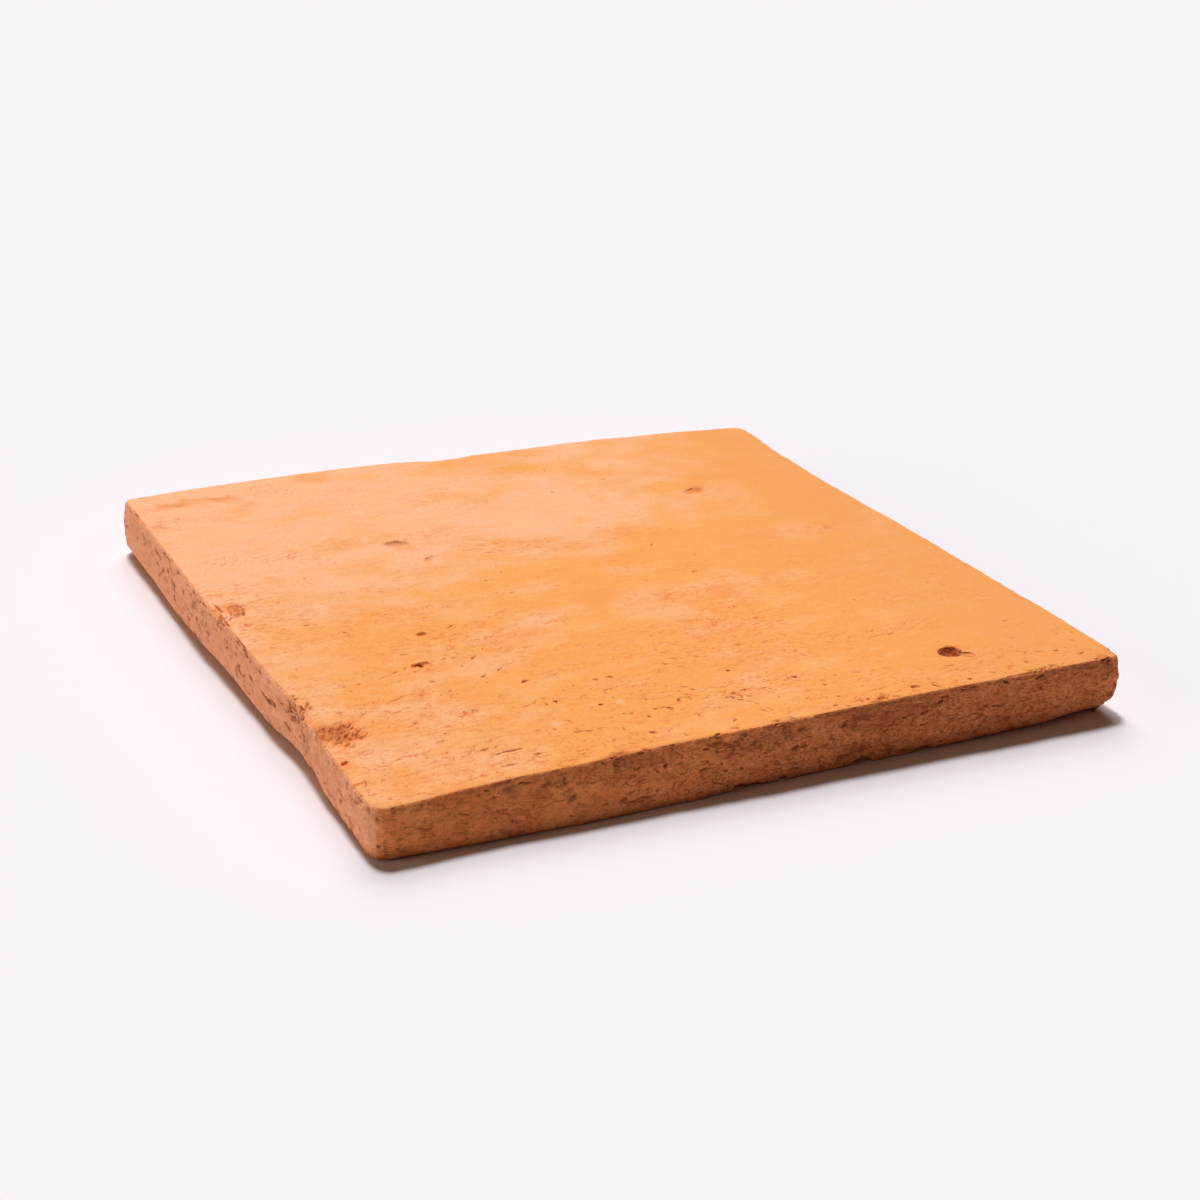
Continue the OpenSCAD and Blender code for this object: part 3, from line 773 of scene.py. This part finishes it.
def relief_piece(node):
    """A new object with the node's form and the fine relief, within the solid's own box."""
    marks = all_marks()
    step_grid = grid_of_steps(marks)
    points, triangles = welded(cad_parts[node].data)
    for _ in range(HALVINGS):
        points, triangles = split_long_edges(points, triangles, step_grid)
    normals = vertex_normals(points, triangles)
    sink, painted_shade, side = relief(points, normals, marks)
    stain_and_painted_light = stains_and_painted_light(points)
    points = np.clip(points - normals * sink[:, None], box_low, box_high)
    mesh = bpy.data.meshes.new("fired_clay_slab")
    mesh.from_pydata(points.tolist(), [], triangles.tolist())
    mesh.shade_smooth()
    # The painted shade of the hollows goes to the material as a point attribute
    for name, values in (("hollow_shade", painted_shade), ("side", side), ("stain_and_painted_light", stain_and_painted_light)):
        layer = mesh.attributes.new(name, "FLOAT", "POINT")
        layer.data.foreach_set("value", values.astype(np.float32))
    piece = bpy.data.objects.new("fired_clay_slab", mesh)
    bpy.context.scene.collection.objects.link(piece)
    thin(piece)
    return piece


def thin(piece):
    """Leaves a piece no more triangles than allowed, taking them from where it is flattest."""
    modifier = piece.modifiers.new("thin", "DECIMATE")
    modifier.ratio = min(1, MOST_TRIANGLES / len(piece.data.polygons))
    graph = bpy.context.evaluated_depsgraph_get()
    mesh = bpy.data.meshes.new_from_object(
        piece.evaluated_get(graph), preserve_all_data_layers=True, depsgraph=graph)
    piece.modifiers.clear()
    piece.data = mesh
    points, triangles = points_and_triangles(mesh)
    points = np.clip(points, box_low, box_high)
    mesh.vertices.foreach_set("co", points.astype(np.float32).ravel())
    mesh.update()
    mesh.normals_split_custom_set_from_vertices(vertex_normals(points, triangles).tolist())


# Colours of the face, of its stains, a few of which are painted shade, and of the painted shade in its
# pores and cracks
SALMON = (0.91, 0.485, 0.270, 1)
ORANGE = (0.88, 0.370, 0.092, 1)
DEEP = (0.85, 0.320, 0.075, 1)
PALE = (0.90, 0.56, 0.36, 1)
FAR_FACE = (0.80, 0.330, 0.100, 1)
RED_DUST = (0.78, 0.245, 0.070, 1)
SOFT_STAIN_AND_SHADE = (0.83, 0.270, 0.070, 1)
RED_STAIN_AND_SHADE = (0.38, 0.085, 0.020, 1)
HOLLOW_SHADE = (0.47, 0.060, 0.008, 1)
FINE_HOLLOW_SHADE = (0.62, 0.085, 0.010, 1)

# Colours of the sides: in the tile's right half, painted darker as painted shade, in its left half, on the
# left side, painted paler as painted light, and on all, with painted highlights on grains and painted shade
# in crevices, hollows and along the foot
RIGHT_SHADED_PALE = (0.78, 0.225, 0.076, 1)
RIGHT_SHADED_RED = (0.62, 0.150, 0.044, 1)
NEAR_LIGHT = (0.98, 0.322, 0.106, 1)
NEAR_RED = (0.88, 0.235, 0.070, 1)
LEFT_LIT_PALE = (0.96, 0.490, 0.300, 1)
LEFT_LIT_RED = (0.88, 0.330, 0.130, 1)
BRIGHT_SIDE = (0.86, 0.340, 0.090, 1)
SIDE_SHADE_AND_STAIN = (0.32, 0.090, 0.026, 1)
SIDE_HOLLOW_SHADE = (0.30, 0.064, 0.014, 1)
GRAIN_HIGHLIGHT = (0.93, 0.360, 0.150, 1)
GRAIN_SHADE = (0.36, 0.085, 0.020, 1)

# The material's noise textures: size of their features in millimetres, detail, roughness, and how far
# they are squeezed along X, Y and Z. Below 1 they are drawn out instead.
TEXTURES = {
    "broad": (45, 3.0, 0.5, (0.8, 1, 1)),
    "patches": (13, 4.0, 0.6, (0.65, 1, 1)),
    "deep": (18, 4.0, 0.6, (0.7, 1, 1)),
    "streaks": (1.4, 4.0, 0.6, (0.10, 1, 0.3)),
    "dust": (2.2, 5.0, 0.65, (0.5, 1, 1)),
    "pale": (6, 5.0, 0.65, (1, 1, 1)),
    "blotch": (11, 4.0, 0.6, (1, 1, 1.4)),
    "mottle": (2.6, 5.0, 0.65, (0.6, 0.6, 1.2)),
    "speck": (0.6, 3.0, 0.6, (1, 1, 1)),
    "cloud": (17, 3.0, 0.55, (0.5, 1, 1)),
    "red_dust": (1.6, 4.0, 0.7, (0.5, 1, 1)),
    "hairlines": (3.4, 3.0, 0.6, (0.42, 1, 0.9)),
    "broken": (3.0, 3.0, 0.6, (0.6, 1, 1)),
    "grit": (0.7, 4.0, 0.7, (0.7, 0.7, 1.2)),
    "clumps": (5.5, 3.0, 0.6, (0.7, 0.7, 1.2)),
    "tears": (3.0, 3.0, 0.6, (0.20, 0.20, 1.0)),
    "torn": (4.5, 3.0, 0.6, (0.5, 0.5, 1.0)),
    "grain": (0.7, 4.0, 0.7, (1, 1, 1)),
    "coarse": (2.6, 4.0, 0.6, (0.5, 1, 1)),
}

# Fine pores: the size in millimetres and the squeeze of the cells that hold one each, how many
# millimetres noise moves them, and how often in a metre that noise varies
PORE_CELL = 1.3
PORE_SQUEEZE = (0.6, 1, 0.9)
PORE_WANDER = 0.8
WANDER_SCALE = 900.0

# The height of the material's bumps, and its specular level
BUMP_HEIGHT = 0.35 * MM
SHINE = 0.2


class Nodes:
    """Builds a material's nodes: each call adds one and links what it is given."""

    def __init__(self, material):
        material.use_nodes = True
        self.tree = material.node_tree
        self.tree.nodes.clear()

    def add(self, kind, settings=None, **inputs):
        """A new node. Its inputs are given by their names, or by i and their number."""
        node = self.tree.nodes.new(kind)
        for name, value in (settings or {}).items():
            setattr(node, name, value)
        for name, value in inputs.items():
            key = int(name[1:]) if name[0] == "i" and name[1:].isdigit() else name
            self.feed(node.inputs[key], value)
        return node

    def feed(self, socket, value):
        """Links an input to another node's output, or sets it to a plain value."""
        if isinstance(value, bpy.types.NodeSocket):
            self.tree.links.new(value, socket)
        else:
            socket.default_value = value

    def math(self, operation, a, b=0.0):
        return self.add("ShaderNodeMath", {"operation": operation}, i0=a, i1=b).outputs[0]

    def plus(self, a, b):
        return self.math("ADD", a, b)

    def times(self, a, b):
        return self.math("MULTIPLY", a, b)

    def larger(self, a, b):
        return self.math("MAXIMUM", a, b)

    def line(self, value, slope, offset):
        """The value times slope, plus offset."""
        node = self.add("ShaderNodeMath", {"operation": "MULTIPLY_ADD"}, i0=value, i1=slope, i2=offset)
        return node.outputs[0]

    def mix(self, factor, a, b):
        node = self.add("ShaderNodeMix", {"data_type": "RGBA"})
        self.feed(node.inputs[0], factor)
        self.feed(node.inputs[6], a)
        self.feed(node.inputs[7], b)
        return node.outputs[2]

    def span(self, value, low, high, to_low=0.0, to_high=1.0):
        """An S-curve from to_low, where the value is low, to to_high, where it is high."""
        node = self.add("ShaderNodeMapRange", {"interpolation_type": "SMOOTHSTEP"})
        for index, item in enumerate((value, low, high, to_low, to_high)):
            self.feed(node.inputs[index], item)
        return node.outputs[0]


class Clay(Nodes):
    """The nodes of the fired clay, with the values that its parts share."""

    def __init__(self, material):
        super().__init__(material)
        self.place = self.add("ShaderNodeTexCoord").outputs["Object"]
        self.x, self.y, self.z = self.add("ShaderNodeSeparateXYZ", i0=self.place).outputs
        normal = self.add("ShaderNodeNewGeometry").outputs["Normal"]
        self.facing_x = self.add("ShaderNodeSeparateXYZ", i0=normal).outputs["X"]
        self.hollow_shade = self.carried("hollow_shade")
        self.side = self.carried("side")
        self.stain_and_painted_light = self.carried("stain_and_painted_light")

    def carried(self, name):
        """A value that the mesh's points carry."""
        return self.add("ShaderNodeAttribute", {"attribute_name": name}).outputs["Fac"]

    def squeezed(self, place, size, squeeze):
        """A place divided by a size in millimetres, for a texture whose features are 1 wide."""
        node = self.add("ShaderNodeVectorMath", {"operation": "MULTIPLY"}, i0=place)
        node.inputs[1].default_value = [share / (size * MM) for share in squeeze]
        return node.outputs[0]

    def texture(self, name):
        """One of the listed noise textures, from 0 to 1."""
        size, detail, roughness, squeeze = TEXTURES[name]
        node = self.add(
            "ShaderNodeTexNoise", {"noise_dimensions": "3D"},
            Vector=self.squeezed(self.place, size, squeeze),
            Scale=1.0, Detail=detail, Roughness=roughness)
        return node.outputs["Fac"]

    def swing(self, name, width):
        """A listed texture from -width / 2 to width / 2."""
        return self.times(self.math("SUBTRACT", self.texture(name), 0.5), width)

    def thin_lines(self, name, inner, outer):
        """1 where a listed texture is within inner of its middle, and 0 where it is beyond outer."""
        off_middle = self.math("ABSOLUTE", self.math("SUBTRACT", self.texture(name), 0.5))
        return self.span(off_middle, inner, outer, 1.0, 0.0)

    def pores(self, cloud):
        """Small scattered spots, 1 in their middle, in a share of cells that grows with the cloud."""
        wander = self.add("ShaderNodeTexNoise", Vector=self.place, Scale=WANDER_SCALE, Detail=2.0)
        moved = self.add(
            "ShaderNodeVectorMath", {"operation": "MULTIPLY_ADD"},
            i0=wander.outputs["Color"], i1=[PORE_WANDER * MM] * 3, i2=self.place)
        cell = self.add(
            "ShaderNodeTexVoronoi", {"feature": "F1"},
            Vector=self.squeezed(moved.outputs[0], PORE_CELL, PORE_SQUEEZE), Scale=1.0)
        chance = self.add("ShaderNodeSeparateColor", i0=cell.outputs["Color"]).outputs[0]
        kept = self.math("LESS_THAN", chance, self.span(cloud, 0.42, 0.75, 0.04, 0.95))
        return self.times(kept, self.span(cell.outputs["Distance"], 0.10, 0.22, 1.0, 0.0))


def face_colour(n, streaks):
    """Salmon at the left and back and orange elsewhere, in soft patches, with drag streaks and dust."""
    back = n.larger(n.times(n.y, 5.4), -0.18)
    warm = n.plus(n.line(n.x, -5.0, 0.24), back)
    warm = n.plus(warm, n.swing("broad", 2.4))
    warm = n.plus(warm, n.swing("patches", 2.0))
    face = n.mix(n.span(warm, -0.05, 0.95), ORANGE, SALMON)
    face = n.mix(n.span(n.texture("deep"), 0.52, 0.75, 0.0, 0.7), face, DEEP)
    streaky = n.span(n.y, 0.04, -0.05, 0.18, 0.38)
    face = n.mix(n.times(n.span(streaks, 0.45, 0.70), streaky), face, DEEP)
    face = n.mix(n.times(n.span(n.texture("dust"), 0.50, 0.72), streaky), face, SALMON)
    face = n.mix(n.span(n.texture("pale"), 0.60, 0.80, 0.0, 0.25), face, PALE)
    return n.mix(n.span(n.x, 0.03, 0.10, 0.0, 0.6), face, FAR_FACE)


def side_colour(n):
    """Redder than the face and mottled with painted crevice shade, with painted shade along the foot and
    over the tile's right half, and painted paler on the left side as painted light.
    """
    blotch = n.texture("blotch")
    mottle = n.texture("mottle")
    # The tile's right half is painted darker than its left half: painted shade
    near = n.span(n.x, 0.03, -0.03)
    red = n.mix(near, RIGHT_SHADED_RED, NEAR_RED)
    light = n.mix(near, RIGHT_SHADED_PALE, NEAR_LIGHT)
    flank = n.mix(n.span(blotch, 0.36, 0.62), red, light)
    # Painted shade in the crevices of the mottle
    flank = n.mix(n.span(mottle, 0.50, 0.74, 0.0, 0.70), flank, SIDE_SHADE_AND_STAIN)
    # The left-facing side is painted paler: painted light
    lit_left = n.mix(n.span(mottle, 0.46, 0.62, 0.0, 0.45), LEFT_LIT_PALE, LEFT_LIT_RED)
    flank = n.mix(n.span(n.facing_x, -0.45, -0.8, 0.0, 0.8), flank, lit_left)
    # Painted shade along the foot, near the floor
    painted_foot_shade = n.times(n.span(n.z, 0.0028, 0.0002), n.span(blotch, 0.35, 0.60, 0.25, 0.75))
    return n.mix(painted_foot_shade, flank, SIDE_SHADE_AND_STAIN)


def crowding(n):
    """Where hairlines and pores lie close together: in clusters, towards the front and on the sides."""
    cloud = n.plus(n.texture("cloud"), n.line(n.y, -1.4, -0.03))
    cloud = n.plus(cloud, n.times(n.x, -0.7))
    return n.larger(cloud, n.times(n.side, 0.50))


def with_red_dust(n, colour, cloud):
    """The face dusted with red round the clusters."""
    dusty = n.times(n.span(cloud, 0.40, 0.62), n.span(n.texture("red_dust"), 0.47, 0.64))
    return n.mix(n.times(dusty, n.span(n.side, 0.2, 0.8, 0.50, 0.0)), colour, RED_DUST)


def fine_cracks(n, cloud):
    """1 in hairline cracks and up to 0.7 in fine pores."""
    lines = n.times(n.thin_lines("hairlines", 0.004, 0.022), n.span(n.texture("broken"), 0.50, 0.58))
    lines = n.times(lines, n.span(cloud, 0.48, 0.64))
    return n.larger(n.times(n.pores(cloud), 0.7), lines)


def with_side_grain(n, colour):
    """The sides with painted highlights on grains of grit, painted shade in the crevices between them, and
    painted shade in torn lines along the layers.
    """
    # Less painted highlight and shade on the left-facing side and in the tile's left half
    grain_light_and_shade = n.times(n.span(n.side, 0.6, 1.0), n.span(n.facing_x, -0.9, -0.3, 0.35, 1.0))
    grain_light_and_shade = n.times(grain_light_and_shade, n.span(n.x, -0.09, 0.0, 0.55, 1.0))
    grit = n.texture("grit")
    clumps = n.larger(n.span(n.texture("clumps"), 0.42, 0.60), n.span(n.stain_and_painted_light, 0.0, 0.45))
    painted_grain_highlight = n.times(n.span(grit, 0.51, 0.63), grain_light_and_shade)
    colour = n.mix(n.times(painted_grain_highlight, n.span(clumps, 0.0, 1.0, 0.60, 0.45)), colour, GRAIN_HIGHLIGHT)
    painted_crevice_shade = n.times(n.span(grit, 0.52, 0.38), grain_light_and_shade)
    colour = n.mix(n.times(painted_crevice_shade, n.span(clumps, 0.0, 1.0, 0.40, 1.0)), colour, GRAIN_SHADE)
    tears = n.times(n.thin_lines("tears", 0.005, 0.026), n.span(n.texture("torn"), 0.50, 0.60))
    return n.mix(n.times(n.times(tears, grain_light_and_shade), 0.9), colour, GRAIN_SHADE)


def with_stains(n, colour):
    """Soft stains with a redder core, a few of them painted shade, painted shade in the relief's hollows,
    and pale rubbed spots, one of them painted light.
    """
    soft = n.times(n.span(n.stain_and_painted_light, 0.0, 0.5), n.span(n.side, 0.2, 0.8, 0.75, 0.30))
    colour = n.mix(soft, colour, n.mix(n.side, SOFT_STAIN_AND_SHADE, SIDE_SHADE_AND_STAIN))
    core = n.times(n.span(n.stain_and_painted_light, 0.35, 1.0), n.span(n.side, 0.2, 0.8, 0.85, 0.25))
    colour = n.mix(core, colour, RED_STAIN_AND_SHADE)
    # Painted shade in the relief's pores, cracks, crumbled patches, torn layers and grit
    colour = n.mix(n.span(n.hollow_shade, 0.05, 0.8, 0.0, 0.9), colour, n.mix(n.side, HOLLOW_SHADE, SIDE_HOLLOW_SHADE))
    return n.mix(n.span(n.stain_and_painted_light, -0.02, -0.9, 0.0, 0.8), colour, n.mix(n.side, PALE, BRIGHT_SIDE))


def fine_bump(n, grain, streaks, fine):
    """The normal, bent by the grain, the streaks and the fine cracks, and more on the sides."""
    height = n.plus(n.times(grain, 0.5), n.times(n.texture("coarse"), 0.45))
    height = n.plus(height, n.times(streaks, 0.3))
    height = n.math("SUBTRACT", height, n.times(fine, 0.2))
    strength = n.span(n.side, 0.2, 0.8, 0.45, 0.9)
    return n.add("ShaderNodeBump", Height=height, Strength=strength, Distance=BUMP_HEIGHT).outputs[0]


def fired_clay():
    """Unglazed terracotta: orange and salmon, with streaks, stains, painted shade in its hollows, crevices
    and foot, painted highlights on side grains, painted light on the left side, and fine grain.
    """
    material = bpy.data.materials.new("fired_clay")
    n = Clay(material)
    streaks = n.texture("streaks")
    grain = n.texture("grain")
    cloud = crowding(n)
    fine = fine_cracks(n, cloud)
    colour = n.mix(n.span(n.side, 0.25, 0.75), face_colour(n, streaks), side_colour(n))
    speck = n.span(n.texture("speck"), 0.35, 0.60, 0.30, 0.0)
    colour = n.mix(speck, colour, n.mix(n.side, RED_DUST, DEEP))
    colour = with_red_dust(n, colour, cloud)
    # Painted shade in the hairline cracks and fine pores
    colour = n.mix(n.times(fine, 0.70), colour, n.mix(n.side, FINE_HOLLOW_SHADE, SIDE_HOLLOW_SHADE))
    colour = with_side_grain(n, colour)
    colour = with_stains(n, colour)
    shader = n.add("ShaderNodeBsdfPrincipled", Normal=fine_bump(n, grain, streaks, fine))
    n.feed(shader.inputs["Base Color"], colour)
    n.feed(shader.inputs["Roughness"], n.span(grain, 0.3, 0.7, 0.82, 0.96))
    shader.inputs["Specular IOR Level"].default_value = SHINE
    n.add("ShaderNodeOutputMaterial", Surface=shader.outputs[0])
    return material


# The surroundings: half the floor's width in metres, its colour, and the sky's tint and strength
FLOOR_HALF = 6.0
FLOOR_COLOUR = (0.865, 0.848, 0.907, 1)
SKY_TINT = (1.0, 0.72, 0.42, 1)
SKY_STRENGTH = 0.045
WHITE = (1, 1, 1, 1)


def pale_floor():
    """A wide plain floor that is not part of the tile."""
    half = FLOOR_HALF
    corners = [(-half, -half, 0), (half, -half, 0), (half, half, 0), (-half, half, 0)]
    mesh = bpy.data.meshes.new("floor")
    mesh.from_pydata(corners, [], [(0, 1, 2, 3)])
    floor = bpy.data.objects.new("floor", mesh)
    bpy.context.scene.collection.objects.link(floor)
    material = bpy.data.materials.new("pale_floor")
    n = Nodes(material)
    shader = n.add("ShaderNodeBsdfDiffuse")
    shader.inputs["Color"].default_value = FLOOR_COLOUR
    n.add("ShaderNodeOutputMaterial", Surface=shader.outputs[0])
    mesh.materials.append(material)


def shown_ray(n):
    """1 where the camera, a mirror or glass sees the surface directly, and 0 for light that it scatters."""
    path = n.add("ShaderNodeLightPath")
    seen = n.larger(path.outputs["Is Camera Ray"], path.outputs["Is Glossy Ray"])
    return n.larger(seen, path.outputs["Is Transmission Ray"])


def soft_sky():
    """Faint even light from all round, which shows as white."""
    world = bpy.data.worlds.new("soft_sky")
    bpy.context.scene.world = world
    n = Nodes(world)
    light = n.add("ShaderNodeBackground")
    light.inputs["Color"].default_value = SKY_TINT
    light.inputs["Strength"].default_value = SKY_STRENGTH
    white = n.add("ShaderNodeBackground")
    white.inputs["Color"].default_value = WHITE
    white.inputs["Strength"].default_value = 1.0
    both = n.add("ShaderNodeMixShader", i0=shown_ray(n), i1=light.outputs[0], i2=white.outputs[0])
    n.add("ShaderNodeOutputWorld", Surface=both.outputs[0])


def lamp(name, towards, share, spread, colour=(1, 1, 1)):
    """A far lamp, spread degrees wide, that gives a level surface this share of full light."""
    towards = Vector(towards).normalized()
    data = bpy.data.lights.new(name, "SUN")
    data.color = colour
    data.energy = share * math.pi / towards.z
    data.angle = math.radians(spread)
    thing = bpy.data.objects.new(name, data)
    thing.rotation_mode = "QUATERNION"
    thing.rotation_quaternion = towards.to_track_quat("Z", "Y")
    bpy.context.scene.collection.objects.link(thing)


def photo_camera():
    """The camera at the photograph's place."""
    data = bpy.data.cameras.new("camera")
    data.sensor_width = SENSOR_MM
    data.lens = SENSOR_MM * FOCAL_PIXELS / PHOTO_SIZE
    data.clip_start, data.clip_end = CAMERA_REACH
    camera = bpy.data.objects.new("camera", data)
    camera.matrix_world = camera_matrix()
    bpy.context.scene.collection.objects.link(camera)
    bpy.context.scene.camera = camera


photo_camera()
tile = relief_piece(NODE)
tile.data.materials.append(fired_clay())
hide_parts(NODE)
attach(tile, "root")

pale_floor()
soft_sky()
lamp("key", towards=(0.06, 0.42, 1.0), share=0.57, spread=10)
lamp("back_light", towards=(0.30, 0.85, 1.0), share=0.42, spread=42)
lamp("left_light", towards=(-1.0, 0.15, 0.24), share=0.06, spread=40, colour=(1.0, 0.78, 0.58))
bpy.context.scene.view_settings.view_transform = "Standard"
